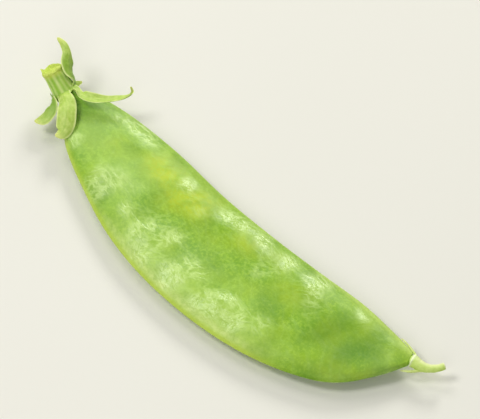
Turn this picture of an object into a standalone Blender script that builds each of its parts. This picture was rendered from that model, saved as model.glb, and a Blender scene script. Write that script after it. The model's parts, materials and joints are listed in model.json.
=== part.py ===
"""A snow pea pod lying on its side as picked, with its calyx at -X and its style at +X.

Lengths are in metres. Shapes are laid out from the calyx mouth, with +X along the pod, +Y towards its
straight suture and Z measured from the pod's middle plane. At the end an empty moves the whole object,
so that the origin is at the bottom centre of its bounding box.
"""

from math import acos, atan2, cos, exp, pi, sin, sqrt

import bmesh
import bpy
from mathutils import Vector

MM = 0.001

# The pod's outline: matching points along the straight suture and along the curved belly edge, in mm.
SUTURE_EDGE = [
    (-2.1, 0.65), (1.0, 2.3), (5.0, 3.8), (12.0, 4.4), (22.0, 4.1), (34.0, 2.8),
    (46.0, 2.4), (57.0, 2.5), (67.0, 2.7), (74.0, 2.0), (78.3, 1.3), (80.5, 0.7),
]
BELLY_EDGE = [
    (-1.8, -1.6), (1.2, -4.3), (5.6, -8.4), (13.0, -12.4), (23.0, -16.7), (34.0, -19.3),
    (46.0, -20.1), (57.0, -19.2), (66.5, -16.7), (73.5, -13.1), (78.2, -7.3), (81.0, -1.4),
]
# Half the pod's thickness, and how far its middle plane rises, at the same points, in mm.
HALF_DEPTH = [1.15, 1.5, 2.0, 2.25, 2.4, 2.45, 2.45, 2.4, 2.25, 1.95, 1.45, 0.9]
PLANE_RISE = [1.3, 0.35, 0.1, 0.0, 0.0, 0.0, 0.0, 0.0, 0.05, 0.15, 0.35, 0.5]

POD_SIDES = 28  # points round each of its sections
POD_RINGS = 66  # sections from neck to tail
RIM_HALF = 0.75 * MM  # half the thickness of the valves' joined edges
RIM_SHARE = 0.6  # most of the half thickness that the rim may take, where the pod is thin
RIM_POWER = 8  # how late and round the rim falls away at the edge
LENS_POWER = 3  # how flat the valves stay before they fall towards the edge
END_ROUND = 0.02  # share of the length over which each end closes

# The young seeds lie in a row along the suture and lift both valves.
SEED_COUNT = 6
SEED_FIRST = 18.5 * MM
SEED_PITCH = 9.65 * MM
SEED_FROM_SUTURE = 4.4 * MM
SEED_SPREAD = 2.9 * MM
SEED_SWELLING = 0.4 * MM
FLOOR_DEPTH = 2.4 * MM  # the surface that the pod rests on, below the middle plane

# The calyx tube leans back and up from its mouth.
MOUTH = Vector((-2.1, -0.5, 1.75)) * MM
TUBE_AXIS = Vector((-0.76, 0.11, 0.64)).normalized()
TUBE_LENGTH = 3.9 * MM
TUBE_MOUTH_RADIUS = 2.2 * MM
TUBE_WAIST_RADIUS = 1.95 * MM
TUBE_TOP_RADIUS = 1.9 * MM
TUBE_WALL = 0.4 * MM
TUBE_RECESS = 0.9 * MM
STUB_LENGTH = 0.7 * MM
STUB_RADIUS = 1.8 * MM
TURN_STEPS = 24

GAP = 0.3 * MM  # clearance left between pieces that touch
SEPAL_THICKNESS = 0.4 * MM
SEPAL_ROWS = 14
SEPAL_COLUMNS = 6
LINE_STEP = 0.01  # share of a sepal's line over which its direction is taken

# Each sepal's middle line, the way its outer side faces and its width along it, and how far its
# margins stand up from the middle line towards that side. All in mm.
SEPALS = {
    "sepal_front": {
        "line": [
            (-0.6, -2.1, 3.4), (1.05, -3.2, 3.9), (2.45, -4.7, 3.8),
            (3.55, -6.3, 3.0), (3.95, -7.6, 2.2), (3.3, -8.7, 1.8),
        ],
        "faces": [(0.1, -0.3, 1), (0.1, -0.3, 1)],
        "widths": [2.6, 3.4, 3.5, 3.5, 2.5, 0.4],
        "cup": -0.5,
    },
    "sepal_left": {
        "line": [
            (-2.35, -3.1, 1.5), (-1.5, -4.3, 1.5), (-1.05, -5.7, 1.1), (-1.2, -7.1, 0.7), (-2.1, -8.3, 0.5),
        ],
        "faces": [(-0.3, -0.2, 1), (-0.3, -0.2, 1)],
        "widths": [1.9, 2.2, 2.6, 2.4, 0.5],
        "cup": -0.3,
    },
    "sepal_right": {
        "line": [
            (0.1, 0.2, 3.25), (1.75, -0.2, 3.55), (3.6, 0.45, 3.65), (5.5, 1.7, 3.65),
            (7.15, 3.25, 3.9), (8.3, 4.6, 4.3), (8.8, 5.65, 5.0), (8.1, 6.0, 6.0),
        ],
        "faces": [(-0.2, 0.3, 1), (-0.2, 0.3, 1)],
        "widths": [1.9, 2.3, 2.1, 1.8, 1.4, 1.0, 0.6, 0.45],
        "cup": 0.6,
    },
    "sepal_back": {
        "line": [
            (-1.6, 1.7, 3.35), (-2.3, 1.85, 4.4), (-3.1, 2.1, 5.35), (-4.0, 2.6, 6.1),
            (-5.0, 3.5, 6.8), (-6.35, 4.1, 7.2), (-8.0, 4.3, 7.4),
        ],
        "faces": [(0.46, 0.79, 0.4), (0.5, 0.3, 0.8), (0.45, 0, 0.85), (0.3, -0.3, 0.8), (0.3, -0.4, 0.8)],
        "widths": [1.9, 2.3, 2.5, 2.3, 1.6, 1.3, 0.5],
        "cup": -0.3,
    },
    "sepal_under": {
        "line": [(-3.2, 0.7, -0.25), (-2.9, 2.0, -0.7), (-2.3, 3.1, -0.8), (-1.7, 3.9, -0.3)],
        "faces": [(0, 0, 1), (0, 0, 1)],
        "widths": [1.6, 2.0, 1.5, 0.5],
        "cup": 0.2,
    },
}

# The dried end of the flower: each strand's middle line and its width along it, in mm.
STRANDS = {
    "style_tail": {
        "line": [(81.3, -0.4, 0.5), (83.3, -0.15, 0.55), (85.0, 0.75, 0.7), (86.4, 2.4, 0.95)],
        "widths": [2.3, 1.9, 1.5, 1.1],
    },
    "strand_upper": {
        "line": [(80.8, 1.4, 0.7), (79.1, 1.7, 0.7), (77.2, 2.1, 0.6)],
        "widths": [0.6, 0.5, 0.35],
    },
    "strand_lower": {
        "line": [(82.5, -1.75, 0.3), (81.8, -2.4, 0.2), (80.7, -3.4, 0.1)],
        "widths": [0.6, 0.5, 0.35],
    },
}

SKIN_GREEN = (0.27, 0.50, 0.075)
SEPAL_GREEN = (0.42, 0.60, 0.13)
TUBE_GREEN = (0.36, 0.52, 0.07)
STUB_YELLOW = (0.66, 0.75, 0.20)
TAIL_GREEN = (0.46, 0.60, 0.13)
STRAND_PALE = (0.62, 0.70, 0.30)


def clear_scene():
    for old in list(bpy.data.objects):
        bpy.data.objects.remove(old)


def collection(name):
    made = bpy.data.collections.new(name)
    bpy.context.scene.collection.children.link(made)
    return made


def material(name, colour, roughness):
    made = bpy.data.materials.new(name)
    made.use_nodes = True
    shader = made.node_tree.nodes["Principled BSDF"]
    shader.inputs["Base Color"].default_value = (*colour, 1)
    shader.inputs["Roughness"].default_value = roughness
    shader.inputs["Metallic"].default_value = 0
    return made


def through(values, share):
    """The smooth curve through evenly numbered values, at a share from 0 to 1 of the way along it."""
    place = min(max(share, 0), 1) * (len(values) - 1)
    i = min(int(place), len(values) - 2)
    u = place - i
    before, start = values[max(i - 1, 0)], values[i]
    end, after = values[i + 1], values[min(i + 2, len(values) - 1)]
    ease = u * u * (3 - 2 * u)
    pull_start = (end - before) * (0.5 * u * (1 - u) ** 2)
    pull_end = (after - start) * (0.5 * u * u * (1 - u))
    return start + (end - start) * ease + pull_start - pull_end


def vectors(points):
    """Points given in mm, as vectors in metres."""
    return [Vector(p) * MM for p in points]


def seed_swelling(x, y):
    """How much the young seeds lift the skin at a point of the pod's plane."""
    total = 0
    for i in range(SEED_COUNT):
        seed_x = SEED_FIRST + i * SEED_PITCH
        seed_y = suture_height(seed_x) - SEED_FROM_SUTURE
        total += exp(-((x - seed_x) ** 2 + (y - seed_y) ** 2) / (2 * SEED_SPREAD**2))
    return SEED_SWELLING * total


def suture_height(x):
    """The suture's y at a place along the pod, on straight runs between its points."""
    for (x0, y0), (x1, y1) in zip(SUTURE_EDGE, SUTURE_EDGE[1:]):
        if x <= x1 * MM:
            break
    return (y0 + (y1 - y0) * (x / MM - x0) / (x1 - x0)) * MM


def end_closing(along):
    """1 along the pod, falling to 0 in a quarter circle at each end."""
    near = min(along, 1 - along, END_ROUND) / END_ROUND
    return sqrt(max(1 - (1 - near) ** 2, 0))


def pod_point(along, around):
    """The pod's skin: along runs from neck to tail, around starts at the suture and turns over the top."""
    suture = through(vectors(SUTURE_EDGE), along)
    belly = through(vectors(BELLY_EDGE), along)
    across = cos(around)
    closing = end_closing(along)
    middle = (suture + belly) / 2
    flat = middle + (suture - belly) / 2 * (across * closing)
    depth = through(HALF_DEPTH, along) * MM * closing
    rim = min(RIM_HALF, RIM_SHARE * depth)
    lens = 1 - abs(across) ** LENS_POWER
    height = rim * sqrt(1 - across**RIM_POWER) + (depth - rim) * lens
    height += seed_swelling(flat.x, flat.y) * lens * closing
    side = 1 if sin(around) >= 0 else -1
    rise = through(PLANE_RISE, along) * MM
    return Vector((flat.x, flat.y, max(rise + side * height, -FLOOR_DEPTH)))


def finish_mesh(name, mesh, skin, holder):
    made = bpy.data.objects.new(name, mesh)
    mesh.materials.append(skin)
    mesh.shade_smooth()
    holder.objects.link(made)
    return made


def make_pod(skin, holder):
    """A UV sphere drawn out into the pod: its poles are the neck and the tail end."""
    shape = bmesh.new()
    bmesh.ops.create_uvsphere(shape, u_segments=POD_SIDES, v_segments=POD_RINGS, radius=1)
    for point in shape.verts:
        along = acos(max(min(point.co.z, 1), -1)) / pi
        around = atan2(point.co.y, point.co.x)
        point.co = pod_point(along, around)
    bmesh.ops.recalc_face_normals(shape, faces=shape.faces)
    mesh = bpy.data.meshes.new("pod")
    shape.to_mesh(mesh)
    shape.free()
    return finish_mesh("pod", mesh, skin, holder)


def make_turned(name, profile, base, skin, holder):
    """A profile of (radius, height) turned round the calyx tube's axis, which starts at base."""
    mesh = bpy.data.meshes.new(name)
    points = [(radius, 0, height) for radius, height in profile]
    edges = [(i, i + 1) for i in range(len(points) - 1)]
    mesh.from_pydata(points, edges, [])
    made = finish_mesh(name, mesh, skin, holder)
    turn = made.modifiers.new("turn", "SCREW")
    turn.steps = TURN_STEPS
    turn.render_steps = TURN_STEPS
    turn.use_merge_vertices = True
    turn.merge_threshold = 0.00001
    made.location = base
    made.rotation_mode = "QUATERNION"
    made.rotation_quaternion = TUBE_AXIS.to_track_quat("Z", "Y")
    return made


def make_calyx_tube(skin, holder):
    inner = TUBE_MOUTH_RADIUS - TUBE_WALL
    profile = [
        (0, TUBE_LENGTH),
        (TUBE_TOP_RADIUS * 0.9, TUBE_LENGTH),
        (TUBE_TOP_RADIUS, TUBE_LENGTH * 0.95),
        (TUBE_WAIST_RADIUS, TUBE_LENGTH * 0.6),
        (TUBE_WAIST_RADIUS * 1.05, TUBE_LENGTH * 0.3),
        (TUBE_MOUTH_RADIUS, TUBE_LENGTH * 0.08),
        (TUBE_MOUTH_RADIUS - TUBE_WALL / 2, 0),
        (inner, TUBE_LENGTH * 0.03),
        (inner * 0.95, TUBE_RECESS * 0.8),
        (inner * 0.7, TUBE_RECESS),
        (0, TUBE_RECESS),
    ]
    return make_turned("calyx_tube", profile, MOUTH, skin, holder)


def make_stalk_stub(skin, holder):
    profile = [
        (0, STUB_LENGTH),
        (STUB_RADIUS * 0.7, STUB_LENGTH * 0.8),
        (STUB_RADIUS, STUB_LENGTH),
        (STUB_RADIUS * 1.05, STUB_LENGTH * 0.5),
        (STUB_RADIUS * 0.95, 0),
        (0, 0),
    ]
    base = MOUTH + TUBE_AXIS * (TUBE_LENGTH + GAP)
    return make_turned("stalk_stub", profile, base, skin, holder)


def make_sepal(name, shape_of, skin, holder):
    """A thin leaf along a line of points, with a width and a facing side for each stretch of it."""
    line = vectors(shape_of["line"])
    facings = [Vector(facing) for facing in shape_of["faces"]]
    widths = shape_of["widths"]
    shape = bmesh.new()
    bmesh.ops.create_grid(shape, x_segments=SEPAL_COLUMNS, y_segments=SEPAL_ROWS, size=1)
    for point in shape.verts:
        across, along = point.co.x, (point.co.y + 1) / 2
        tangent = through(line, along + LINE_STEP) - through(line, along - LINE_STEP)
        sideways = tangent.cross(through(facings, along)).normalized()
        outward = sideways.cross(tangent).normalized()
        width = through(widths, along)
        hollow = shape_of["cup"] * across**2 * width / max(widths)
        point.co = through(line, along) + (sideways * (across * width / 2) + outward * hollow) * MM
    mesh = bpy.data.meshes.new(name)
    shape.to_mesh(mesh)
    shape.free()
    made = finish_mesh(name, mesh, skin, holder)
    thicken = made.modifiers.new("thickness", "SOLIDIFY")
    thicken.thickness = SEPAL_THICKNESS
    thicken.offset = 0


def make_strand(name, shape_of, skin, holder):
    """A tapering round strand on a curve with filled ends."""
    line = vectors(shape_of["line"])
    curve = bpy.data.curves.new(name, "CURVE")
    curve.dimensions = "3D"
    curve.bevel_depth = MM
    curve.bevel_resolution = 3
    curve.resolution_u = 5
    curve.use_fill_caps = True
    spline = curve.splines.new("BEZIER")
    spline.bezier_points.add(len(line) - 1)
    for knot, place, width in zip(spline.bezier_points, line, shape_of["widths"]):
        knot.co = place
        knot.radius = width / 2
        knot.handle_left_type = "AUTO"
        knot.handle_right_type = "AUTO"
    curve.materials.append(skin)
    made = bpy.data.objects.new(name, curve)
    holder.objects.link(made)
    return made


def bounds(objects):
    """The lowest and highest corners of the objects as they are shown."""
    graph = bpy.context.evaluated_depsgraph_get()
    corners = []
    for shown in objects:
        evaluated = shown.evaluated_get(graph)
        mesh = evaluated.to_mesh()
        corners += [shown.matrix_world @ point.co for point in mesh.vertices]
        evaluated.to_mesh_clear()
    low = Vector([min(corner[axis] for corner in corners) for axis in range(3)])
    high = Vector([max(corner[axis] for corner in corners) for axis in range(3)])
    return low, high


def set_on_origin(holder):
    """Hangs every piece on one empty and moves it, so that the object stands on the origin."""
    pieces = list(holder.objects)
    bpy.context.view_layer.update()
    low, high = bounds(pieces)
    base = bpy.data.objects.new("base_centre", None)
    holder.objects.link(base)
    for piece in pieces:
        piece.parent = base
    base.location = (-(low.x + high.x) / 2, -(low.y + high.y) / 2, -low.z)


def main():
    clear_scene()
    holder = collection("snow_pea_pod")
    sepal_skin = material("sepal_skin", SEPAL_GREEN, 0.5)
    strand_skins = {
        "style_tail": material("tail_skin", TAIL_GREEN, 0.45),
        "strand_upper": material("dried_strand", STRAND_PALE, 0.7),
    }
    strand_skins["strand_lower"] = strand_skins["strand_upper"]
    make_pod(material("pod_skin", SKIN_GREEN, 0.35), holder)
    make_calyx_tube(material("tube_skin", TUBE_GREEN, 0.45), holder)
    make_stalk_stub(material("broken_stalk", STUB_YELLOW, 0.6), holder)
    for name, shape_of in SEPALS.items():
        make_sepal(name, shape_of, sepal_skin, holder)
    for name, shape_of in STRANDS.items():
        make_strand(name, shape_of, strand_skins[name], holder)
    set_on_origin(holder)


main()
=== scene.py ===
"""The looks of a snow pea pod: detailed skins and materials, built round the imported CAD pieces.

Shapes are worked out in mm from the calyx mouth, as the CAD has them: +X along the pod, +Y towards its
straight suture, +Z up from its middle plane. make_skin() moves them to the frame and turns them to metres.
"""

import json
from math import cos, pi, radians, sin

import bpy
import numpy as np
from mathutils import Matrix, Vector

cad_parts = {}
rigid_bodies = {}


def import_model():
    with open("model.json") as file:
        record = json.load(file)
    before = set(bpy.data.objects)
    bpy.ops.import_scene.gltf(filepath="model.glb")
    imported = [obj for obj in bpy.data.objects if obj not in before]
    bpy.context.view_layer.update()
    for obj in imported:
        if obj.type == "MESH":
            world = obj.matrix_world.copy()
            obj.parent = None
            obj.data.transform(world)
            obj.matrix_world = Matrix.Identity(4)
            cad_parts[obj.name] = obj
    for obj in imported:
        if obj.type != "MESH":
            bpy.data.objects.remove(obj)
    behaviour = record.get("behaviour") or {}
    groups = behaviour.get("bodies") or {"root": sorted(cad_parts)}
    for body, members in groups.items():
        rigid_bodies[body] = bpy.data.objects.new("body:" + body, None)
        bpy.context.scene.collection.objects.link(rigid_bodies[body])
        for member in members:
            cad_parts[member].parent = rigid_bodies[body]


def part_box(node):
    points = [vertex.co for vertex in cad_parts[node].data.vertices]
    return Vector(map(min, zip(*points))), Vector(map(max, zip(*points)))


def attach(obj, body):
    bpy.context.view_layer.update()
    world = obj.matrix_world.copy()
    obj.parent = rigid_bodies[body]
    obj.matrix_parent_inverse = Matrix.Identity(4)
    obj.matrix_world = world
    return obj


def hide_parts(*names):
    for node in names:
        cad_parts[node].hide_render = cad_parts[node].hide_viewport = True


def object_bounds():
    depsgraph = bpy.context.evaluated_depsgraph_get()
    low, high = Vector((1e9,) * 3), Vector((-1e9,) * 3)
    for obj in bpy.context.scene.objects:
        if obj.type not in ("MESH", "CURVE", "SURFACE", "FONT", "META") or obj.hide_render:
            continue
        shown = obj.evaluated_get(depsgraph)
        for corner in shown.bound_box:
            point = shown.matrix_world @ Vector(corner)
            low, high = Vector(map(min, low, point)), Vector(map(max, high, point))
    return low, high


for old in list(bpy.data.objects):
    bpy.data.objects.remove(old)
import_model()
CAD_LOW, CAD_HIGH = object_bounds()

MM = 0.001
TURN = 2 * pi

# The pod's outline: matching points along the straight suture and along the curved belly edge.
SUTURE_EDGE = [
    (-2.1, 0.65), (1.0, 2.3), (5.0, 3.8), (12.0, 4.4), (22.0, 4.1), (34.0, 2.8),
    (46.0, 2.4), (57.0, 2.5), (67.0, 2.7), (74.0, 2.0), (78.3, 1.3), (80.4, 0.75),
]
BELLY_EDGE = [
    (-1.8, -1.6), (1.2, -4.3), (5.6, -8.4), (13.0, -12.4), (23.0, -16.7), (34.0, -19.3),
    (46.0, -20.1), (57.0, -19.2), (66.5, -16.7), (73.5, -13.1), (78.2, -7.3), (81.25, -1.6),
]
# At the same points: half the pod's thickness, and how high its middle plane stands.
HALF_DEPTH = [1.15, 1.5, 2.0, 2.25, 2.4, 2.45, 2.45, 2.4, 2.25, 1.95, 1.45, 0.9]
PLANE_RISE = [1.3, 0.35, 0.1, 0.0, 0.0, 0.0, 0.0, 0.0, 0.05, 0.15, 0.35, 0.5]
# The valves meet in a rounded rim: half its thickness, and the most it may take of the pod's depth.
RIM_HALF = 0.75
RIM_SHARE = 0.6
RIM_POWER = 8  # how square the rim's round is
LENS_POWER = 3  # how full the pod is between its edges
NECK_ROUND = 0.02  # the shares of its length over which the pod's two ends close
TAIL_ROUND = 0.006
SEED_COUNT = 6
SEED_FIRST = 18.5  # where the first seed is along the pod
SEED_PITCH = 9.65
SEED_FROM_SUTURE = 4.4
SEED_SPREAD = 2.9
SEED_SWELLING = 0.4
UPPER_SEEDS = 1.4  # they show this much more on the upper valve
FLOOR_DEPTH = 2.4  # how far the lowest place of the CAD pod is below its middle plane
UNDER_SHARE = 0.845  # the underside is this much shallower, so that only its swellings touch the floor
POD_RINGS = 430
POD_SIDES = 184
END_CROWDING = 9  # how much closer the rings stand at the pod's ends, and the sides at its edges
EDGE_CROWDING = 1.5

# Low swellings between the seeds and the belly edge: x, y, spread and height.
BELLY_SWELLINGS = [
    (15.0, -9.6, 2.4, 0.22), (22.5, -12.6, 1.5, 0.22), (29.0, -13.3, 1.5, 0.22), (34.5, -11.6, 1.7, 0.20),
    (39.5, -15.8, 1.3, 0.20), (43.3, -17.2, 1.1, 0.14), (58.0, -14.5, 2.6, 0.16),
]
# One swelling near the belly is as round as a pea: x, y, radius and height.
ROUND_SWELLING = (49.4, -15.6, 2.5, 0.42)
# Shallow dips: x, y, spread and depth.
DIPS = [
    (69.0, -6.0, 3.2, 0.45), (73.0, -1.5, 1.8, 0.12), (23.3, -0.6, 1.6, 0.12), (33.0, -1.0, 1.7, 0.14),
    (42.5, -0.8, 1.6, 0.08), (52.0, -0.8, 1.7, 0.03), (62.0, -0.6, 1.6, 0.12),
]
BELLY_RIDGE = 0.22  # a long low swelling beside the belly edge
BELLY_RIDGE_FROM_EDGE = 4.4
BELLY_RIDGE_SPREAD = 1.7
# The joined edges stand out, with a groove beside each: distance from the edge, spread and height.
SUTURE_PROFILE = [(0.4, 0.22, 0.05), (1.0, 0.25, -0.03)]
BELLY_PROFILE = [(0.35, 0.2, 0.04), (0.9, 0.25, -0.02)]
SEAM_DEPTH = 0.1  # of the groove where the two valves meet at the suture
# Random unevenness of the skin: height, wavelength and seed.
UNEVENNESS = [(0.07, 12, 11), (0.018, 4.2, 12)]
# Crinkles, drawn out along the pod: height, how fast they change along it, wavelength and seed.
CRINKLES = [(0.016, 0.5, 1.9, 13), (0.008, 0.4, 0.95, 14)]
CRINKLE_SLANT = 0.35  # in radians from the pod's length, towards the belly
# Veins: slant from the pod's length in degrees, spacing and thinness.
MAIN_VEINS = (48, 2.1, 7)
CROSS_VEINS = (40, 3.3, 9)
VEIN_HEIGHT = 0.012
OTHER_SIDE = 140  # moves random patterns along for the lower valve, so that the two valves differ
LOWER_RELIEF = 0.4  # the swellings and dips listed here show less on the lower valve
# Yellow patches in the skin: x, y, spread and strength. The one at x 77, near the tail's tip, is painted
# light where the tip curves down into shade.
WARM_PATCHES = [
    (22.8, -1.7, 2.7, 1.2), (31.4, -3.0, 2.8, 1.3), (44.0, -3.0, 3.6, 0.4), (56.0, -3.5, 3.0, 0.35),
    (70.0, -8.0, 4.0, 0.3), (12.0, -5.0, 4.0, 0.3), (77.0, -5.5, 2.6, 0.3),
]
# Darker green patches, partly the skin's own tone and partly painted shade, as under sepal_right at the
# neck and in the dip near the tail: x, y, spread and strength.
DARK_AND_SHADED_PATCHES = [
    (71.0, -5.5, 3.1, 0.9), (70.5, -10.0, 4.0, 0.15), (63.0, -9.0, 2.8, 0.25), (57.8, -6.0, 2.4, 0.45),
    (3.3, -0.4, 2.0, 0.6),
]
# Places that are softly paler, partly the skin's own tone and partly painted light where the neck and the
# tail's tip lie in shade: x, y, spread and strength.
PALE_AND_LIT_PATCHES = [
    (8.0, 1.0, 4.0, 0.4), (7.0, -4.2, 3.4, 0.6), (18.5, -6.8, 3.9, 0.9), (38.5, -12.5, 3.0, 0.5),
    (46.0, -11.5, 2.5, 0.3), (54.0, -10.5, 2.5, 0.3), (78.0, -5.0, 2.6, 0.6), (73.0, -11.5, 2.6, 0.25),
]
# Places where the wax is smooth and silvery, with a painted highlight tinted into its colour: x, y, spread
# and strength.
WAX_AND_HIGHLIGHT_PATCHES = [
    (9.0, 2.3, 1.5, 0.7), (12.5, 2.4, 1.8, 0.9), (16.5, 1.6, 1.6, 0.7), (28.0, 0.0, 1.7, 0.7),
    (37.0, -0.4, 1.8, 0.5), (41.0, 0.2, 1.9, 0.6), (46.0, 0.5, 1.8, 0.8), (52.0, -0.2, 1.8, 0.8),
    (58.5, 0.2, 2.2, 0.85), (69.0, 0.2, 1.4, 0.7), (6.0, -7.0, 1.7, 0.8), (22.0, -7.0, 1.8, 0.35),
    (16.0, -9.8, 2.6, 0.75), (23.2, -12.0, 1.3, 0.9), (28.2, -11.9, 2.4, 1.0), (33.9, -10.2, 1.9, 0.8),
    (31.5, -16.5, 2.0, 0.6), (38.0, -17.5, 2.0, 0.7), (45.5, -17.2, 1.8, 0.7), (39.5, -13.0, 2.2, 0.9),
    (49.2, -15.2, 2.4, 1.0), (53.0, -16.6, 1.9, 0.8), (56.7, -13.0, 1.2, 0.5), (60.3, -3.6, 1.5, 0.5),
    (50.0, -6.0, 2.0, 0.45), (63.5, -6.5, 2.2, 0.4),
]

# The calyx tube leans back and up from its mouth.
MOUTH = np.array([-2.1, -0.5, 1.75])
TUBE_AXIS = np.array([-0.76, 0.11, 0.64])
TUBE_AXIS = TUBE_AXIS / np.linalg.norm(TUBE_AXIS)
TUBE_LENGTH = 3.9
TUBE_RADII = [2.2, 2.12, 2.02, 1.96, 1.97, 1.95]  # from its mouth to its top
TUBE_WALL = 0.4
MOUTH_DROP = 0.12  # how far its edge stands past the mouth
MOUTH_WAVE = 0.08  # how much that edge waves
TUBE_LIP = 0.18  # how far its rounded rim stands past the end of its wall
TUBE_RECESS = 1.1  # how deep the pod's neck stands in it
RIB_HEIGHT = 0.09
RIB_SPREAD = 0.13  # in radians
SMALL_RIB_SHARE = 0.7  # the height of the ribs between the sepals, beside those in the middle of one
SMALL_RIB_SPREAD = 0.10
TUBE_SIDES = 168
TUBE_ROWS = 90
STUB_HEIGHT = 0.75
STUB_SUNK = 0.1  # how far the stub starts below the top of the tube
STUB_SIDES = 200
STUB_ROWS = 26
BOWL_ROWS = 34
TOOTH_TURN = -2.55  # where round the tube the longest splinter of the torn stalk stands

# Each sepal's middle line, the way its outer side faces and its width along it, how far its margins
# stand up from the middle line towards that side, and how much greener it is than the palest skin, partly
# painted shade, most of all on sepal_left.
SEPALS = {
    "sepal_front": {
        "line": [
            (-0.6, -2.1, 3.4), (1.05, -3.2, 3.9), (2.45, -4.7, 3.8),
            (3.55, -6.3, 3.0), (3.95, -7.6, 2.2), (3.3, -8.7, 1.8),
        ],
        "faces": [(0.1, -0.3, 1), (0.1, -0.3, 1)],
        "widths": [2.6, 3.4, 3.5, 3.5, 2.5, 0.4],
        "cup": -0.5,
        "green": 0.12,
    },
    "sepal_left": {
        "line": [
            (-2.35, -3.1, 1.5), (-1.5, -4.3, 1.5), (-1.05, -5.7, 1.1), (-1.2, -7.1, 0.7), (-2.1, -8.3, 0.5),
        ],
        "faces": [(-0.3, -0.2, 1), (-0.3, -0.2, 1)],
        "widths": [2.5, 2.4, 2.6, 2.4, 0.5],
        "cup": -0.3,
        "green": 0.75,
    },
    "sepal_right": {
        "line": [
            (0.1, 0.2, 3.25), (1.75, -0.2, 3.55), (3.6, 0.45, 3.65), (5.5, 1.7, 3.65),
            (7.15, 3.25, 3.9), (8.3, 4.6, 4.3), (8.8, 5.65, 5.0), (8.1, 6.0, 6.0),
        ],
        "faces": [(-0.2, 0.3, 1), (-0.2, 0.3, 1)],
        "widths": [1.9, 2.2, 2.2, 1.85, 1.4, 1.0, 0.6, 0.45],
        "cup": 0.6,
        "green": 0.12,
    },
    "sepal_back": {
        "line": [
            (-1.6, 1.7, 3.35), (-2.3, 1.85, 4.4), (-3.1, 2.1, 5.35), (-4.0, 2.6, 6.1),
            (-5.0, 3.5, 6.8), (-6.35, 4.1, 7.2), (-8.0, 4.3, 7.4),
        ],
        "faces": [(0.46, 0.79, 0.4), (0.5, 0.3, 0.8), (0.45, 0, 0.85), (0.3, -0.3, 0.8), (0.3, -0.4, 0.8)],
        "widths": [2.5, 2.9, 2.8, 2.4, 1.6, 1.3, 0.5],
        "cup": -0.3,
        "green": 0.65,
    },
    "sepal_under": {
        "line": [(-3.2, 0.7, -0.25), (-2.9, 2.0, -0.7), (-2.3, 3.1, -0.8), (-1.7, 3.9, -0.3)],
        "faces": [(0, 0, 1), (0, 0, 1)],
        "widths": [1.6, 2.0, 1.5, 0.5],
        "cup": 0.2,
        "green": 0.3,
    },
}

# How a sepal leaves the tube's wall: height above the mouth, radius and share of the sepal's first width.
SEPAL_ROOTS = [(0.6, 1.9, 0.85), (-0.05, 2.12, 1.0)]
BACK_SEPAL_ROOTS = [(-0.1, 2.0, 0.88), (0.2, 2.38, 0.88)]
SEPAL_ROWS = 110
SEPAL_SIDES = 92
SEPAL_THICKNESS = 0.34
SEPAL_VEIN_HEIGHT = 0.04
# Veins across a sepal: place from its middle (0) to its margin (1) and strength.
SEPAL_VEINS = [(0, 1.0), (0.34, 0.4), (-0.34, 0.4), (0.66, 0.25), (-0.66, 0.25)]

# The style and the dried strands of the flower: each one's middle line and its width along it.
STRANDS = {
    "style_tail": {
        "line": [
            (80.4, -0.75, 0.5), (81.3, -0.4, 0.5), (82.6, -0.28, 0.5), (83.85, 0.0, 0.55),
            (84.95, 0.65, 0.65), (85.8, 1.5, 0.8), (86.4, 2.5, 0.95),
        ],
        "widths": [1.1, 2.35, 2.15, 1.8, 1.55, 1.42, 1.3],
    },
    "strand_upper": {
        "line": [
            (81.45, 0.3, 0.6), (80.95, 0.75, 0.6), (80.35, 0.98, 0.62), (79.5, 1.22, 0.62),
            (78.4, 1.48, 0.6), (77.5, 1.64, 0.58), (76.7, 1.72, 0.5),
        ],
        "widths": [0.5, 0.46, 0.42, 0.4, 0.36, 0.3, 0.14],
    },
    "strand_lower": {
        "line": [
            (83.9, -0.8, 0.4), (83.4, -1.15, 0.35), (82.95, -1.6, 0.3),
            (82.3, -2.17, 0.22), (81.5, -2.72, 0.16), (80.8, -3.2, 0.1),
        ],
        "widths": [0.4, 0.48, 0.52, 0.5, 0.4, 0.12],
    },
}
COLLAR_SHARE = 1 / 6  # the collar is at the second point of the tail's line
COLLAR_STEP = 0.14
# How each strand is drawn: its flatness, rows and sides.
TAIL_DRAWING = (0.75, 170, 80)
STRAND_DRAWING = (0.7, 90, 36)

# The camera, in degrees and metres.
CAMERA_AZIMUTH = 42.13
CAMERA_ELEVATION = 58
CAMERA_DISTANCE = 2.0
FIELD_WIDTH = 0.085  # how much its picture takes in from side to side
SENSOR_WIDTH = 36  # in mm, as Blender has it
AIM_RIGHT = 5.0  # how far the camera looks past the middle of the object, in mm
AIM_UP = 5.8
# Disc lights: name, azimuth, elevation, distance, width, power and colour.
LIGHTS = [
    ("softbox", 250, 48, 0.9, 0.4, 1.7, (1, 0.99, 0.9)),
    ("window", 204, 31, 0.9, 0.26, 3.4, (1, 1, 0.92)),
    ("skylight", 308, 60, 1.0, 0.32, 3.5, (1, 1, 0.93)),
    ("front", 30, 40, 0.9, 0.5, 1.6, (1, 1, 0.9)),
]
WORLD_COLOUR = (0.97, 0.98, 0.97, 1)
WORLD_STRENGTH = 0.3
FLOOR_REACH = 4.0
FLOOR_GAP = 0.0001  # between the floor and the CAD's lowest place, so that the two don't mix in a picture


# Helpers for shapes


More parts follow.
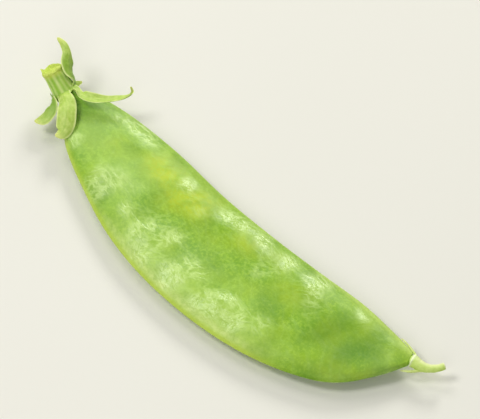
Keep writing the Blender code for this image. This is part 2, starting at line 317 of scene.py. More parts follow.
def through(values, shares):
    """The smooth curve through evenly numbered values, at shares from 0 to 1 of the way along it."""
    values = np.asarray(values, float)
    place = np.clip(shares, 0, 1) * (len(values) - 1)
    i = np.minimum(place.astype(int), len(values) - 2)
    u = place - i
    if values.ndim > 1:
        u = u[..., None]
    before, start = values[np.maximum(i - 1, 0)], values[i]
    end, after = values[i + 1], values[np.minimum(i + 2, len(values) - 1)]
    ease = u * u * (3 - 2 * u)
    pull_start = (end - before) * (0.5 * u * (1 - u) ** 2)
    pull_end = (after - start) * (0.5 * u * u * (1 - u))
    return start + (end - start) * ease + pull_start - pull_end


def unit(vectors):
    """The same directions, 1 long."""
    return vectors / np.linalg.norm(vectors, axis=-1, keepdims=True)


def calyx_mouth():
    """Where the calyx mouth is in the frame, in mm, found from the pod's neck, suture and underside."""
    neck = (SUTURE_EDGE[0][0] + BELLY_EDGE[0][0]) / 2
    suture = through(SUTURE_EDGE, np.linspace(0, 1, 2000))[:, 1].max()
    low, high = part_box("pod")
    return np.array([low.x / MM - neck, high.y / MM - suture, low.z / MM + FLOOR_DEPTH])


ZERO = calyx_mouth()


def hump(value, centre, spread):
    """1 at the centre, falling away on both sides in a bell."""
    return np.exp(-(((value - centre) / spread) ** 2) / 2)


def ramp(value, low, high):
    """0 up to low, 1 from high on, and a smooth step between them."""
    share = np.clip((value - low) / (high - low), 0, 1)
    return share * share * (3 - 2 * share)


def patches(x, y, table):
    """The sum of round humps given as x, y, spread and height."""
    total = 0
    for patch_x, patch_y, spread, height in table:
        total = total + height * np.exp(-((x - patch_x) ** 2 + (y - patch_y) ** 2) / (2 * spread**2))
    return total


def ripples(x, y, wavelength, seed):
    """Smooth random relief, mostly between -1 and 1: waves of about one length that cross at all angles."""
    waves = 20
    random = np.random.default_rng(seed)
    total = 0
    for _ in range(waves):
        heading = random.uniform(0, pi)
        number = TURN / (wavelength * random.uniform(0.7, 1.4))
        shift = random.uniform(0, TURN)
        total = total + np.sin(number * (x * cos(heading) + y * sin(heading)) + shift)
    return total / np.sqrt(waves / 2)


def evenly(points, count, weights=1):
    """Shares from 0 to 1 that stand evenly along a finely drawn line, and closer where weights are high."""
    steps = np.linalg.norm(np.diff(points, axis=0), axis=1) * weights
    travelled = np.concatenate([[0], np.cumsum(steps)])
    wanted = np.linspace(0, travelled[-1], count)
    return np.interp(wanted, travelled, np.linspace(0, 1, len(points)))


def even_rows(line, count):
    """Shares of the smooth curve through a line's points that stand evenly along it, as a column."""
    return evenly(through(line, np.linspace(0, 1, 400)), count)[:, None]


def even_turns(count):
    """Even angles all round, as a row."""
    return np.linspace(0, TURN, count, endpoint=False)[None, :]


def tangent_to(line, along):
    """The direction of the smooth curve through a line's points."""
    return unit(through(line, along + 0.01) - through(line, along - 0.01))


def volume_sign(rings):
    """Positive if the faces that make_skin() lays on these rings point outwards."""
    following = np.roll(rings, -1, axis=1)
    a, b, c, d = rings[:-1], following[:-1], following[1:], rings[1:]
    return np.sum(a * np.cross(b, c)) + np.sum(a * np.cross(c, d))


def closed_faces(count, sides):
    """Quads between the rings, and a fan at each end round one of the two points that follow them."""
    here = np.arange(sides)
    beside = (here + 1) % sides
    starts = np.arange(count - 1)[:, None] * sides
    quads = np.stack([starts + here, starts + beside, starts + sides + beside, starts + sides + here], -1)
    first_pole, last_start = count * sides, (count - 1) * sides
    first_cap = np.stack([beside, here, np.full(sides, first_pole)], -1)
    last_cap = np.stack([last_start + here, last_start + beside, np.full(sides, first_pole + 1)], -1)
    return quads.reshape(-1, 4).tolist() + first_cap.tolist() + last_cap.tolist()


def store_paint(mesh, name, values):
    """Keeps a number for each point of the rings, and an end ring's mean for the point that closes it."""
    at_points = np.concatenate([values.ravel(), [values[0].mean(), values[-1].mean()]])
    attribute = mesh.attributes.new(name, "FLOAT", "POINT")
    attribute.data.foreach_set("value", at_points.astype(np.float32))


def make_skin(name, rings, finish, paints):
    """A closed mesh through rings of points, which stands for the CAD node of the same name.

    Each end closes on the middle of its last ring. paints are named numbers for the points, which the
    material reads.
    """
    if volume_sign(rings - rings.mean((0, 1))) < 0:
        rings = rings[:, ::-1]
        paints = {key: values[:, ::-1] for key, values in paints.items()}
    points = np.concatenate([rings.reshape(-1, 3), rings[:1].mean(1), rings[-1:].mean(1)])
    mesh = bpy.data.meshes.new(name)
    mesh.from_pydata(((points + ZERO) * MM).tolist(), [], closed_faces(*rings.shape[:2]))
    for key, values in paints.items():
        store_paint(mesh, key, np.broadcast_to(values, rings.shape[:2]))
    mesh.shade_smooth()
    mesh.materials.append(finish)
    piece = bpy.data.objects.new(name + "_skin", mesh)
    bpy.context.scene.collection.objects.link(piece)
    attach(piece, "root")
    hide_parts(name)
    return piece


# The pod


def suture_height(x):
    """The suture's y at a place along the pod."""
    xs, ys = np.array(SUTURE_EDGE).T
    return np.interp(x, xs, ys)


def seed_swelling(x, y):
    """How much the young seeds lift the skin."""
    total = 0
    for i in range(SEED_COUNT):
        seed_x = SEED_FIRST + i * SEED_PITCH
        seed_y = suture_height(seed_x) - SEED_FROM_SUTURE
        total = total + np.exp(-((x - seed_x) ** 2 + (y - seed_y) ** 2) / (2 * SEED_SPREAD**2))
    return SEED_SWELLING * total


def slanting_lines(x, y, bend, slant, spacing, thinness):
    """1 along even lines on which y falls as x grows, and 0 between them."""
    place = (x * sin(radians(slant)) + y * cos(radians(slant)) + bend) / spacing
    return (0.5 + 0.5 * np.cos(TURN * place)) ** thinness


def pod_veins(x, y):
    """Fine veins that slant from the suture to the belly, and fainter ones that cross them."""
    bend = 1.1 * ripples(x, y, 16, seed=31) + 0.25 * ripples(x, y, 4, seed=32)
    strength = 0.5 + 0.5 * np.tanh(1.5 * ripples(x, y, 9, seed=33))
    main = slanting_lines(x, y, bend, *MAIN_VEINS)
    cross = slanting_lines(x, -y, bend, *CROSS_VEINS)
    return main * (0.35 + 0.65 * strength) + 0.6 * cross * (1 - strength)


def round_swelling(x, y):
    """The one swelling near the belly that is as round as a pea."""
    centre_x, centre_y, radius, height = ROUND_SWELLING
    away = ((x - centre_x) ** 2 + (y - centre_y) ** 2) / radius**2
    return height * np.exp(-(away**1.6))


def crinkles(x, y):
    """Fine relief, drawn out along the pod and a little down towards the belly."""
    along = x * cos(CRINKLE_SLANT) - y * sin(CRINKLE_SLANT)
    across = x * sin(CRINKLE_SLANT) + y * cos(CRINKLE_SLANT)
    total = 0
    for height, squeeze, wavelength, seed in CRINKLES:
        total = total + height * ripples(along * squeeze, across, wavelength, seed)
    return total


def pod_relief(x, y, upper):
    """How far the skin stands above a plain lens shape."""
    moved = x + np.where(upper, 0, OTHER_SIDE)
    relief = seed_swelling(x, y) * np.where(upper, UPPER_SEEDS, 1)
    for height, wavelength, seed in UNEVENNESS:
        relief = relief + height * ripples(moved, y, wavelength, seed)
    relief = relief + crinkles(moved, y)
    relief = relief + VEIN_HEIGHT * pod_veins(moved, y)
    marks = patches(x, y, BELLY_SWELLINGS) - patches(x, y, DIPS) + round_swelling(x, y)
    return relief + marks * np.where(upper, 1, LOWER_RELIEF)


def end_closing(along):
    """1 along most of the pod, and down to 0 in a quarter of a round at its neck and tail."""
    near = np.clip(np.minimum(along / NECK_ROUND, (1 - along) / TAIL_ROUND), 0, 1)
    return np.sqrt(1 - (1 - near) ** 2)


def edge_profile(from_edge, profile):
    """The height of a joined edge and of the groove beside it."""
    return sum(height * hump(from_edge, place, spread) for place, spread, height in profile)


def edge_relief(x, from_suture, from_belly):
    """The two joined edges stand out a little, and a long swelling runs beside the belly edge."""
    ridge = hump(from_belly, BELLY_RIDGE_FROM_EDGE, BELLY_RIDGE_SPREAD) * ramp(x, 8, 22) * ramp(x, 68, 54)
    suture = edge_profile(from_suture, SUTURE_PROFILE)
    belly = edge_profile(from_belly, BELLY_PROFILE)
    return BELLY_RIDGE * ridge + suture + belly


def pod_points(along, around):
    """The pod's skin: along runs from neck to tail, around starts at the suture and turns over the top."""
    across = np.cos(around)
    closing = end_closing(along)
    suture, belly = through(SUTURE_EDGE, along), through(BELLY_EDGE, along)
    flat = (suture + belly) / 2 + (suture - belly) / 2 * (across * closing)[..., None]
    x, y = flat[..., 0], flat[..., 1]
    upper = np.sin(around) >= 0
    half_width = np.linalg.norm(suture - belly, axis=-1) / 2
    depth = through(HALF_DEPTH, along) * closing
    rim = np.minimum(RIM_HALF, RIM_SHARE * depth)
    lens = 1 - np.abs(across) ** LENS_POWER
    height = rim * np.sqrt(1 - across**RIM_POWER) + (depth - rim) * lens
    height = height + pod_relief(x, y, upper) * lens * closing
    height = height + edge_relief(x, half_width * (1 - across), half_width * (1 + across)) * closing
    height = np.where(upper, height, height * UNDER_SHARE)
    seam = SEAM_DEPTH * hump(np.sin(around), 0, 0.1) * closing * (across > 0)
    inward = unit(belly - suture)
    x, y = x + inward[..., 0] * seam, y + inward[..., 1] * seam
    z = through(PLANE_RISE, along) + np.where(upper, height, -height)
    return np.stack([x, y, z], -1)


def pod_grid():
    """Even places along the pod and round it, closer at its ends and at its two edges."""
    fine = np.linspace(0, 1, 3001)
    middle = (through(SUTURE_EDGE, fine) + through(BELLY_EDGE, fine)) / 2
    spots = (fine[1:] + fine[:-1]) / 2
    near_end = np.exp(-np.minimum(spots, 1 - spots) / 0.01)
    along = evenly(middle, POD_RINGS + 2, 1 + END_CROWDING * near_end)[1:-1, None]
    outline = pod_points(np.full_like(fine, 0.5), fine * TURN)
    near_edge = np.abs(np.cos(spots * TURN)) ** 30
    around = evenly(outline, POD_SIDES + 1, 1 + EDGE_CROWDING * near_edge)[:-1] * TURN
    return along, around[None, :]


def pod_paints(x, y, upper, from_suture, from_belly):
    """The numbers that pod_material() reads: patches, some of them painted light and shade, wax with
    painted highlights, veins, and bands beside the two edges, some of them painted light.
    """
    moved = x + np.where(upper, 0, OTHER_SIDE)
    random_warm = np.where(upper, 0.12, 0.3) * ripples(moved, y, 9, seed=21)
    random_wax_and_highlight = 0.5 * ripples(moved, y, 11, seed=22) + 0.3 * ripples(moved, y, 5, seed=23)
    # the wax patches, which also carry painted highlights; random and fainter on the lower valve
    wax_and_highlight = np.where(upper, patches(x, y, WAX_AND_HIGHLIGHT_PATCHES) + 0.25 * random_wax_and_highlight, 0.7 * random_wax_and_highlight)
    return {
        "warm": np.clip(patches(x, y, WARM_PATCHES) + random_warm, 0, 1),
        "wax_and_highlight": ramp(wax_and_highlight, 0.2, 0.85),
        "vein": np.clip(pod_veins(moved, y), 0, 1),
        "suture_rim": hump(from_suture, 0, 0.3 + 0.7 * ramp(x, 56, 68)),
        # the belly rim is tinted paler: partly its own paler skin, partly painted light where it faces away
        # from the lamps
        "pale_and_lit_belly_rim": hump(from_belly, 0, 0.4) * ramp(x, 68, 56),
        "belly_glint": hump(from_belly, 1.0, 0.5) * ramp(x, 14, 30) * ramp(x, 64, 52),
        "shoulder": hump(from_suture, 2.6, 1.3) * ramp(x, 6, 12) * ramp(x, 80, 70),
        # painted light: the belly side is tinted paler
        "lit_belly_side": hump(from_belly, 2.6, 2.0) * ramp(x, 18, 28) * ramp(x, 70, 56),
        # paler places, partly painted light
        "pale": np.clip(patches(x, y, PALE_AND_LIT_PATCHES), 0, 1),
        "streaky": 1 - 0.8 * ramp(x, 60, 70),
        # darker patches, partly painted shade
        "deep": np.clip(patches(x, y, DARK_AND_SHADED_PATCHES) + 0.15 * ripples(moved, y, 8, seed=24), 0, 1),
    }


def make_pod(finish):
    """Both valves, as one closed skin."""
    along, around = pod_grid()
    points = pod_points(along, around)
    across = np.cos(around)
    half_width = np.linalg.norm(through(SUTURE_EDGE, along) - through(BELLY_EDGE, along), axis=-1) / 2
    from_suture, from_belly = half_width * (1 - across), half_width * (1 + across)
    paints = pod_paints(points[..., 0], points[..., 1], np.sin(around) >= 0, from_suture, from_belly)
    return make_skin("pod", points, finish, paints)


# The calyx


def tube_frame():
    """Two directions square to the tube's axis: the first points up and over the pod, the second to +Y."""
    up = unit(np.array([0, 0, 1]) - TUBE_AXIS * TUBE_AXIS[2])
    return up, np.cross(TUBE_AXIS, up)


def turn_on_tube(point):
    """The angle round the tube's axis at which a point stands."""
    up, side = tube_frame()
    away = np.asarray(point) - MOUTH
    return np.arctan2(away @ side, away @ up)


def tube_place(turn, height, radius):
    """A point at a turn round the tube, a height above its mouth and a radius from its axis."""
    up, side = tube_frame()
    turn, height, radius = np.broadcast_arrays(turn, height, radius)
    outward = np.cos(turn)[..., None] * up + np.sin(turn)[..., None] * side
    return MOUTH + height[..., None] * TUBE_AXIS + radius[..., None] * outward


def turn_between(a, b):
    """The angle from b to a, the shorter way round."""
    return (a - b + pi) % TURN - pi


def tube_ribs(turn):
    """Ten ribs: one up the middle of each sepal and one between each two."""
    mains = sorted(turn_on_tube(sepal["line"][0]) for sepal in SEPALS.values())
    ribs = 0
    for i, main in enumerate(mains):
        following = mains[(i + 1) % len(mains)]
        between = main + ((following - main) % TURN) / 2
        ribs = ribs + hump(turn_between(turn, main), 0, RIB_SPREAD)
        ribs = ribs + SMALL_RIB_SHARE * hump(turn_between(turn, between), 0, SMALL_RIB_SPREAD)
    return ribs


def tube_inside(turn):
    """The recess that holds the pod's neck, from its bottom to the mouth."""
    height = np.linspace(TUBE_RECESS, 0.15, 14)[:, None]
    radius = (TUBE_RADII[0] - TUBE_WALL) * (1 - 0.5 * ramp(height, 0.3, TUBE_RECESS) ** 2)
    return tube_place(turn, height, radius)


def tube_lip(turn, edge):
    """The rounded rim of the mouth."""
    over = np.linspace(0, pi, 12)[:, None]
    middle = TUBE_RADII[0] - TUBE_WALL / 2
    return tube_place(turn, edge - TUBE_LIP * np.sin(over), middle - TUBE_WALL / 2 * np.cos(over))


def tube_outside(turn, edge, ribs, share):
    """The ribbed wall, from the wavy mouth (share 0) to the top (share 1)."""
    radius = through(TUBE_RADII, share) + RIB_HEIGHT * ribs * (1 - 0.35 * share)
    radius = radius + 0.03 * ripples(turn * 2, share * TUBE_LENGTH, 1.6, seed=41)
    radius = radius + 0.008 * ripples(turn * 8, share * 1.5, 1.1, seed=42)
    return tube_place(turn, share * TUBE_LENGTH + edge * (1 - share) ** 4, radius)


def tube_top(turn, ribs):
    """The wall rounds over onto the stalk."""
    closing = np.linspace(0.05, 0.95, 10)[:, None] * pi / 2
    radius = (TUBE_RADII[-1] + 0.1 * ribs) * np.cos(closing)
    return tube_place(turn, TUBE_LENGTH * 0.98 + 0.25 * np.sin(closing), radius)


def make_tube(finish):
    """The recess for the neck, the lip, the ribbed wall and the top, as one closed skin."""
    turn = even_turns(TUBE_SIDES)
    ribs = tube_ribs(turn)
    edge = MOUTH_WAVE * np.sin(turn * len(SEPALS)) - MOUTH_DROP
    share = np.linspace(0.02, 0.98, TUBE_ROWS)[:, None]
    inside, lip = tube_inside(turn), tube_lip(turn, edge)
    outside, top = tube_outside(turn, edge, ribs, share), tube_top(turn, ribs)
    climbs = [np.zeros((len(inside) + len(lip), 1)), share, np.ones((len(top), 1))]
    paints = {"vein": ribs, "climb": np.concatenate(climbs)}
    rings = np.concatenate([inside, lip, outside, top])
    return make_skin("calyx_tube", rings, finish, paints)


def torn_edge(turn):
    """How high the torn end of the stalk stands at each turn, and its one long tooth."""
    ragged = 0.12 * ripples(turn * 2, 0 * turn, 3.2, seed=51)
    ragged = ragged + 0.04 * ripples(turn * 2, 0 * turn, 1.1, seed=52)
    tooth = hump(turn_between(turn, TOOTH_TURN), 0, 0.12)
    flap = 0.25 * hump(turn_between(turn, TOOTH_TURN - 0.7), 0, 0.5)
    return STUB_HEIGHT + ragged + flap + 0.6 * tooth, tooth


def stub_wall(turn, up, top, tooth):
    """The stub's outside, from the tube (up 0) to its torn edge (up 1)."""
    flare = 0.16 * np.sin(up * pi) - 0.12 * up + 0.35 * tooth * up**2
    splinters = 0.015 * ripples(turn * 6, up * 0.8, 1.2, seed=54)
    return tube_place(turn, TUBE_LENGTH - STUB_SUNK + top * up, TUBE_RADII[-1] + flare + splinters)


def stub_bowl(turn, inward, top, tooth):
    """The stub's sunken fibrous middle, from its torn edge (inward 0) to its centre (inward 1)."""
    sunken = ramp(inward, 0.0, 0.3)
    fibres = 0.06 * ripples(turn * 4, inward * 6, 1.0, seed=53) * np.sin(inward * pi)
    height = top * (1 - sunken) + 0.3 * sunken + fibres
    radius = (TUBE_RADII[-1] - 0.12 + 0.3 * tooth * (1 - inward) ** 6) * (1 - inward) ** 0.7 + 0.02
    return tube_place(turn, TUBE_LENGTH - STUB_SUNK + height, radius)


def make_stub(finish):
    """The torn end of the stalk: a ragged pale ring round a sunken fibrous middle."""
    turn = even_turns(STUB_SIDES)
    up = np.linspace(0, 1, STUB_ROWS)[:, None]
    inward = np.linspace(0, 1, BOWL_ROWS)[1:, None]
    top, tooth = torn_edge(turn)
    rings = np.concatenate([stub_wall(turn, up, top, tooth), stub_bowl(turn, inward, top, tooth)])
    torn = np.concatenate([up, 1 - 0.5 * inward])
    return make_skin("stalk_stub", rings, finish, {"torn": torn})


def sepal_outline(name):
    """The sepal's middle line with its root on the tube, its widths and the way its outer side faces."""
    sepal = SEPALS[name]
    turn = turn_on_tube(sepal["line"][0])
    roots = BACK_SEPAL_ROOTS if name == "sepal_back" else SEPAL_ROOTS
    line = [tube_place(turn, height, radius) for height, radius, _ in roots] + sepal["line"]
    widths = [share * sepal["widths"][0] for _, _, share in roots] + sepal["widths"]
    up, beside = tube_frame()
    root_face = np.cos(turn) * up + np.sin(turn) * beside
    faces = [root_face, root_face] + [np.array(face, float) for face in sepal["faces"]]
    return line, widths, faces


def sepal_veins(along, across):
    """How strongly the veins show, which run along a sepal and end near its tip."""
    veins = 0
    for place, strength in SEPAL_VEINS:
        veins = veins + strength * hump(across, place, 0.05)
    return veins * ramp(along, 1.0, 0.85)


def sepal_lift(name, along, across, side, cup, root, veins):
    """How far a sepal's two skins stand off its middle line: its cup, thickness, veins and waves."""
    hollow = cup * (1 - root) - 0.3 * root
    thickness = SEPAL_THICKNESS * (1 - 0.45 * across**2) * (0.4 + 0.6 * ramp(along, 1.0, 0.75))
    lift = hollow * across**2 + thickness / 2 * np.sign(side) * np.sqrt(1 - across**6)
    lift = lift + SEPAL_VEIN_HEIGHT * veins * np.where(side > 0, 1, 0.5)
    lift = lift + 0.06 * across**3 * ripples(along * 8, 0 * across, 2.4, seed=len(name))
    return lift + 0.02 * ripples(along * 9, across * 2, 1.1, seed=61)


def make_sepal(name, finish):
    """A thin veined leaf that grows out of the tube's wall."""
    line, widths, faces = sepal_outline(name)
    along, around = even_rows(line, SEPAL_ROWS), even_turns(SEPAL_SIDES)
    across, side = np.cos(around), np.sin(around)
    tangent = tangent_to(line, along)
    sideways = unit(np.cross(tangent, unit(through(faces, along))))
    outward = np.cross(sideways, tangent)
    width = through(widths, along) * np.sqrt(1 - 0.9 * ramp(along, 0.96, 1.0) ** 2)
    root = ramp(along, 0.3, 0.05)
    veins = sepal_veins(along, across)
    cup = SEPALS[name]["cup"] * width / max(widths)
    lift = sepal_lift(name, along, across, side, cup, root, veins)
    points = through(line, along) + sideways * (across * width / 2)[..., None] + outward * lift[..., None]
    paints = {
        "vein": veins,
        "margin": ramp(np.abs(across), 0.78, 0.98),
        "tip": ramp(along, 0.85, 1.0),
        "root": root,
        # greener from the root to the middle; partly painted shade, most of all on sepal_left
        "green": SEPALS[name]["green"] * ramp(along, 1.0, 0.45),
    }
    return make_skin(name, points, finish, paints)


# The dried end of the flower


def strand_points(name, flatness, rows, sides, collar=0.0):
    """A tapering strand along a line, flattened in Z."""
    line, widths = STRANDS[name]["line"], STRANDS[name]["widths"]
    along, around = even_rows(line, rows), even_turns(sides)
    tangent = tangent_to(line, along)
    sideways = unit(np.cross(tangent, np.array([0, 0, 1.0])))
    upward = np.cross(sideways, tangent)
    uneven = 1 + 0.3 * np.sin(3 * around) + 0.25 * np.cos(5 * around + 1)
    half = through(widths, along) / 2 + collar * uneven * hump(along, COLLAR_SHARE, 0.02)
    half = half + 0.015 * ripples(along * 12, around, 1.5, seed=71)
    half = half * np.sqrt(1 - 0.9 * ramp(along, 0.97, 1.0) ** 2)
    reach = half * np.cos(around)
    lift = half * flatness * np.sin(around)
    points = through(line, along) + sideways * reach[..., None] + upward * lift[..., None]
    return points, along, around


def make_tail(finish):
    """The style, with the pale collar that the flower left round it."""
    points, along, around = strand_points("style_tail", *TAIL_DRAWING, COLLAR_STEP)
    paints = {
        # painted highlight: a whiter band along the tail's +Y side
        "edge": hump(np.cos(around), -1, 0.6) * ramp(along, 0.18, 0.3),
        "tip": ramp(along, 0.93, 1.0),
        "collar": hump(along, COLLAR_SHARE, 0.026),
    }
    return make_skin("style_tail", points, finish, paints)


def make_strand(name, finish):
    """One of the two dried threads of the flower."""
    points, along, _ = strand_points(name, *STRAND_DRAWING)
    return make_skin(name, points, finish, {"tip": ramp(along, 0.8, 1.0)})


# Materials


def add_node(tree, kind, sockets=None, **settings):
    """A shader node with its sockets set to values or linked to other nodes' outputs."""
    made = tree.nodes.new("ShaderNode" + kind)
    for key, value in settings.items():
        setattr(made, key, value)
    for key, value in (sockets or {}).items():
        socket = made.inputs[key]
        if isinstance(value, bpy.types.NodeSocket):
            tree.links.new(value, socket)
        else:
            socket.default_value = value
    return made


def linear(red, green, blue):
    """A colour given as 0 to 255 on a screen, as the shader's linear numbers."""
    shares = [((value / 255 + 0.055) / 1.055) ** 2.4 for value in (red, green, blue)]
    return (*shares, 1)


def painted(tree, name):
    """The numbers that make_skin() stored on the mesh under this name."""
    return add_node(tree, "Attribute", attribute_name=name).outputs["Fac"]


def in_mm(tree, rotation=0, stretch=(1, 1, 1)):
    """Object coordinates in mm, turned about Z and stretched."""
    place = add_node(tree, "TexCoord").outputs["Object"]
    scale = tuple(value / MM for value in stretch)
    turned = add_node(tree, "Mapping", {"Vector": place, "Rotation": (0, 0, rotation)})
    return add_node(tree, "Mapping", {"Vector": turned.outputs[0], "Scale": scale}).outputs[0]


def noise(tree, place, size, detail=3.0, roughness=0.5):
    """Noise from 0 to 1, whose blots are about this many mm across."""
    sockets = {"Vector": place, "Scale": 1 / size, "Detail": detail, "Roughness": roughness}
    return add_node(tree, "TexNoise", sockets).outputs[0]


def remap(tree, value, low, high, to_low=0.0, to_high=1.0):
    sockets = {"Value": value, "From Min": low, "From Max": high, "To Min": to_low, "To Max": to_high}
    return add_node(tree, "MapRange", sockets).outputs[0]


def calculate(tree, operation, a, b):
    return add_node(tree, "Math", {0: a, 1: b}, operation=operation).outputs[0]


def mix(tree, share, a, b):
    """Colour a turning to colour b as share goes from 0 to 1."""
    return add_node(tree, "Mix", {0: share, 6: a, 7: b}, data_type="RGBA").outputs[2]


def tint(tree, colour, share, strength, target):
    """The colour turned towards a target, given as 0 to 255 on a screen, by share times strength."""
    return mix(tree, calculate(tree, "MULTIPLY", share, strength), colour, linear(*target))


def new_material(name):
    made = bpy.data.materials.new(name)
    made.use_nodes = True
    return made, made.node_tree, made.node_tree.nodes["Principled BSDF"]


def finish_shader(tree, shader, colour, roughness, height, depth, strength=1.0):
    """Joins colour, roughness and a bump of this height, up to depth mm deep, to the shader."""
    bump = add_node(tree, "Bump", {"Height": height, "Distance": depth * MM, "Strength": strength})
    tree.links.new(colour, shader.inputs["Base Color"])
    tree.links.new(roughness, shader.inputs["Roughness"])
    tree.links.new(bump.outputs[0], shader.inputs["Normal"])


def wrinkles(tree, heading, size):
    """Thin lines that run at about this heading, in degrees from the pod's length."""
    waves = noise(tree, in_mm(tree, radians(-heading), (0.55, 1.2, 1)), size, 3, 0.52)
    away = calculate(tree, "ABSOLUTE", calculate(tree, "SUBTRACT", waves, 0.5), 0)
    return remap(tree, away, 0.095, 0)


def pod_wrinkles(tree, place):
    """Wrinkles that run down towards the belly in some places and up towards the suture in others."""
    rising = remap(tree, noise(tree, place, 5, 1), 0.5, 0.6)
    return mix(tree, rising, wrinkles(tree, -22, 1.9), wrinkles(tree, 30, 1.6))


def pod_ground(tree, place):
    """The green of the pod: broad clouds, yellow patches, mottling and fine grains."""
    broad = noise(tree, place, 9, 2)
    colour = mix(tree, remap(tree, broad, 0.35, 0.65), linear(104, 157, 4), linear(132, 177, 6))
    colour = tint(tree, colour, painted(tree, "warm"), 0.8, (192, 208, 22))
    mottle = noise(tree, place, 2.2, 3, 0.6)
    colour = tint(tree, colour, remap(tree, mottle, 0.45, 0.65), 0.5, (104, 154, 12))
    grains = noise(tree, place, 0.55, 3, 0.6)
    colour = tint(tree, colour, remap(tree, grains, 0.45, 0.65), 0.45, (172, 210, 52))
    return tint(tree, colour, painted(tree, "vein"), 0.14, (178, 214, 110))


def pod_colour(tree, place, lines):
    """The pod's green with its pale sides, streaks, dark patches, silvery wax and edges: partly painted
    light on the belly side, paler places and belly rim, painted shade in some dark patches, and painted
    highlights on the wax.
    """
    pale = remap(tree, noise(tree, place, 1.4, 4, 0.7), 0.3, 0.65, 0.35, 1)
    clouds = remap(tree, noise(tree, place, 5, 2), 0.4, 0.6, 0.2, 1)
    shoulder = calculate(tree, "MULTIPLY", painted(tree, "shoulder"), pale)
    lit_belly_side = calculate(tree, "MULTIPLY", painted(tree, "lit_belly_side"), pale)
    belly_glint = calculate(tree, "MULTIPLY", painted(tree, "belly_glint"), pale)
    cloudy_lines = calculate(tree, "MULTIPLY", lines, clouds)
    streaks = calculate(tree, "MULTIPLY", cloudy_lines, painted(tree, "streaky"))
    wax_and_highlight = calculate(tree, "MULTIPLY", painted(tree, "wax_and_highlight"), remap(tree, lines, 0, 1, 0.28, 1))
    colour = pod_ground(tree, place)
    colour = tint(tree, colour, shoulder, 0.3, (176, 212, 92))
    # painted light on the belly side
    colour = tint(tree, colour, lit_belly_side, 0.7, (184, 216, 92))
    # paler places, partly painted light
    colour = tint(tree, colour, painted(tree, "pale"), 0.5, (176, 212, 124))
    colour = tint(tree, colour, streaks, 0.35, (168, 210, 80))
    # darker patches, partly painted shade
    colour = tint(tree, colour, painted(tree, "deep"), 0.85, (84, 134, 8))
    # painted highlight: the wax patches and their wrinkle lines are tinted whitish
    colour = tint(tree, colour, wax_and_highlight, 0.7, (208, 235, 146))
    colour = tint(tree, colour, painted(tree, "suture_rim"), 0.7, (200, 224, 108))
    colour = tint(tree, colour, belly_glint, 0.7, (222, 240, 150))
    # the belly rim: partly its own paler skin, partly painted light
    return tint(tree, colour, painted(tree, "pale_and_lit_belly_rim"), 0.7, (200, 222, 84))


def pod_material():
    """Waxy: smoother, with a stronger grain, on the silvery wax patches that also carry painted highlights.
    """
    made, tree, shader = new_material("pod_skin")
    shader.inputs["Specular IOR Level"].default_value = 0.42
    place = in_mm(tree)
    lines = pod_wrinkles(tree, place)
    wax_and_highlight = painted(tree, "wax_and_highlight")
    rough = remap(tree, wax_and_highlight, 0, 1, 0.5, 0.3)
    strength = remap(tree, wax_and_highlight, 0, 1, 0.4, 1)
    grain = calculate(tree, "ADD", noise(tree, place, 0.9, 2), calculate(tree, "MULTIPLY", lines, 0.5))
    finish_shader(tree, shader, pod_colour(tree, place, lines), rough, grain, 0.09, strength)
    return made


def leafy_material(name, blot_size, greens, tints, roughness, grain_size, depth):
    """Blots of two greens, tinted where make_skin() painted the skin, with a fine grain this deep in mm."""
    made, tree, shader = new_material(name)
    place = in_mm(tree)
    blots = noise(tree, place, blot_size, 4, 0.6)
    colour = mix(tree, remap(tree, blots, 0.35, 0.7), linear(*greens[0]), linear(*greens[1]))
    for paint, strength, target in tints:
        colour = tint(tree, colour, painted(tree, paint), strength, target)
    rough = remap(tree, blots, 0.3, 0.7, *roughness)
    finish_shader(tree, shader, colour, rough, noise(tree, place, grain_size, 3), depth)
    return made


def sepal_material():
    """Pale, with green where the paint says, which is partly painted shade, greener veins, and whitish
    margins and tip.
    """
    greens = [(172, 202, 78), (208, 226, 126)]
    tints = [
        ("green", 1, (112, 160, 30)),
        ("root", 0.6, (150, 186, 62)),
        ("vein", 0.4, (146, 186, 60)),
        ("margin", 0.85, (234, 244, 164)),
        ("tip", 0.7, (234, 234, 134)),
    ]
    return leafy_material("sepal_skin", 0.9, greens, tints, (0.42, 0.55), 0.3, 0.03)


def tube_material():
    """Green, with pale ribs and a yellower top."""
    made, tree, shader = new_material("tube_skin")
    place = in_mm(tree)
    blots = noise(tree, place, 1.2, 4, 0.6)
    colour = mix(tree, remap(tree, blots, 0.35, 0.7), linear(128, 182, 20), linear(158, 202, 44))
    colour = tint(tree, colour, painted(tree, "vein"), 0.8, (218, 234, 146))
    colour = tint(tree, colour, remap(tree, painted(tree, "climb"), 0.75, 1), 0.7, (202, 212, 76))
    rough = remap(tree, blots, 0.3, 0.7, 0.4, 0.52)
    finish_shader(tree, shader, colour, rough, noise(tree, place, 0.3, 3), 0.03)
    return made


def stub_material():
    """Pale torn fibres, a little darker at the foot."""
    made, tree, shader = new_material("broken_stalk")
    splits = noise(tree, in_mm(tree), 0.25, 4, 0.7)
    colour = mix(tree, remap(tree, splits, 0.35, 0.7), linear(186, 208, 66), linear(222, 234, 124))
    colour = tint(tree, colour, remap(tree, painted(tree, "torn"), 0.3, 0), 1, (196, 208, 76))
    finish_shader(tree, shader, colour, remap(tree, splits, 0.3, 0.7, 0.5, 0.7), splits, 0.08)
    return made


def tail_material():
    """Pale green, with a whiter edge that is a painted highlight, and a whiter tip and collar."""
    greens = [(184, 212, 92), (208, 228, 128)]
    tints = [
        # painted highlight along the tail's +Y side
        ("edge", 0.8, (240, 242, 184)),
        ("tip", 0.8, (242, 242, 196)),
        ("collar", 1.0, (242, 252, 206)),
    ]
    return leafy_material("tail_skin", 0.9, greens, tints, (0.4, 0.55), 0.3, 0.04)


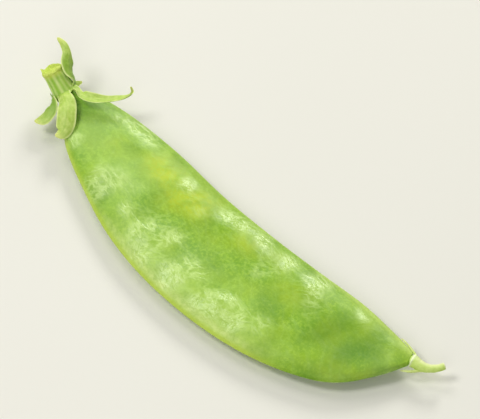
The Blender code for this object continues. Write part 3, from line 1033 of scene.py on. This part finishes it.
def strand_material():
    """Dry and straw-coloured at its tip."""
    greens = [(196, 214, 112), (222, 234, 156)]
    tints = [("tip", 0.5, (206, 196, 110))]
    return leafy_material("dried_strand", 0.6, greens, tints, (0.5, 0.7), 0.25, 0.04)


# The studio


def floor_material():
    made, tree, shader = new_material("studio_floor")
    place = in_mm(tree)
    colour = mix(tree, noise(tree, place, 120, 2), linear(226, 224, 218), linear(232, 230, 225))
    tree.links.new(colour, shader.inputs["Base Color"])
    shader.inputs["Roughness"].default_value = 0.7
    return made


def make_floor():
    mesh = bpy.data.meshes.new("studio_floor")
    signs = [(-1, -1), (1, -1), (1, 1), (-1, 1)]
    corners = [(x * FLOOR_REACH, y * FLOOR_REACH, 0) for x, y in signs]
    mesh.from_pydata(corners, [], [(0, 1, 2, 3)])
    mesh.materials.append(floor_material())
    floor = bpy.data.objects.new("studio_floor", mesh)
    floor.location = (0, 0, CAD_LOW.z - FLOOR_GAP)
    bpy.context.scene.collection.objects.link(floor)


def direction(azimuth, elevation):
    """The direction from the object to a place: azimuth 0 is towards -Y, elevation is above the floor."""
    a, e = radians(azimuth), radians(elevation)
    return Vector((sin(a) * cos(e), -cos(a) * cos(e), sin(e)))


def make_light(name, azimuth, elevation, distance, width, power, colour):
    """A disc that faces the object."""
    light = bpy.data.lights.new(name, "AREA")
    light.shape = "DISK"
    light.size = width
    light.energy = power
    light.color = colour
    lamp = bpy.data.objects.new(name, light)
    lamp.location = direction(azimuth, elevation) * distance
    lamp.rotation_mode = "QUATERNION"
    lamp.rotation_quaternion = direction(azimuth, elevation).to_track_quat("Z", "Y")
    bpy.context.scene.collection.objects.link(lamp)


def light_studio():
    for light in LIGHTS:
        make_light(*light)
    world = bpy.data.worlds.new("studio")
    world.use_nodes = True
    background = world.node_tree.nodes["Background"]
    background.inputs["Color"].default_value = WORLD_COLOUR
    background.inputs["Strength"].default_value = WORLD_STRENGTH
    bpy.context.scene.world = world
    bpy.context.scene.view_settings.view_transform = "Standard"


def make_camera():
    """Looks at the middle of the CAD box, from the photograph's side, through a long lens."""
    camera_data = bpy.data.cameras.new("camera")
    camera_data.sensor_width = SENSOR_WIDTH
    camera_data.lens = SENSOR_WIDTH * CAMERA_DISTANCE / FIELD_WIDTH
    camera_data.clip_start = 0.05
    camera = bpy.data.objects.new("camera", camera_data)
    towards = direction(CAMERA_AZIMUTH, CAMERA_ELEVATION)
    turned = towards.to_track_quat("Z", "Y")
    aim = (CAD_LOW + CAD_HIGH) / 2 + turned @ Vector((AIM_RIGHT, AIM_UP, 0)) * MM
    camera.location = aim + towards * CAMERA_DISTANCE
    camera.rotation_mode = "QUATERNION"
    camera.rotation_quaternion = turned
    bpy.context.scene.collection.objects.link(camera)
    bpy.context.scene.camera = camera


make_camera()
light_studio()
make_floor()
make_pod(pod_material())
make_tube(tube_material())
make_stub(stub_material())
sepal_finish = sepal_material()
for sepal_name in SEPALS:
    make_sepal(sepal_name, sepal_finish)
make_tail(tail_material())
strand_finish = strand_material()
make_strand("strand_upper", strand_finish)
make_strand("strand_lower", strand_finish)
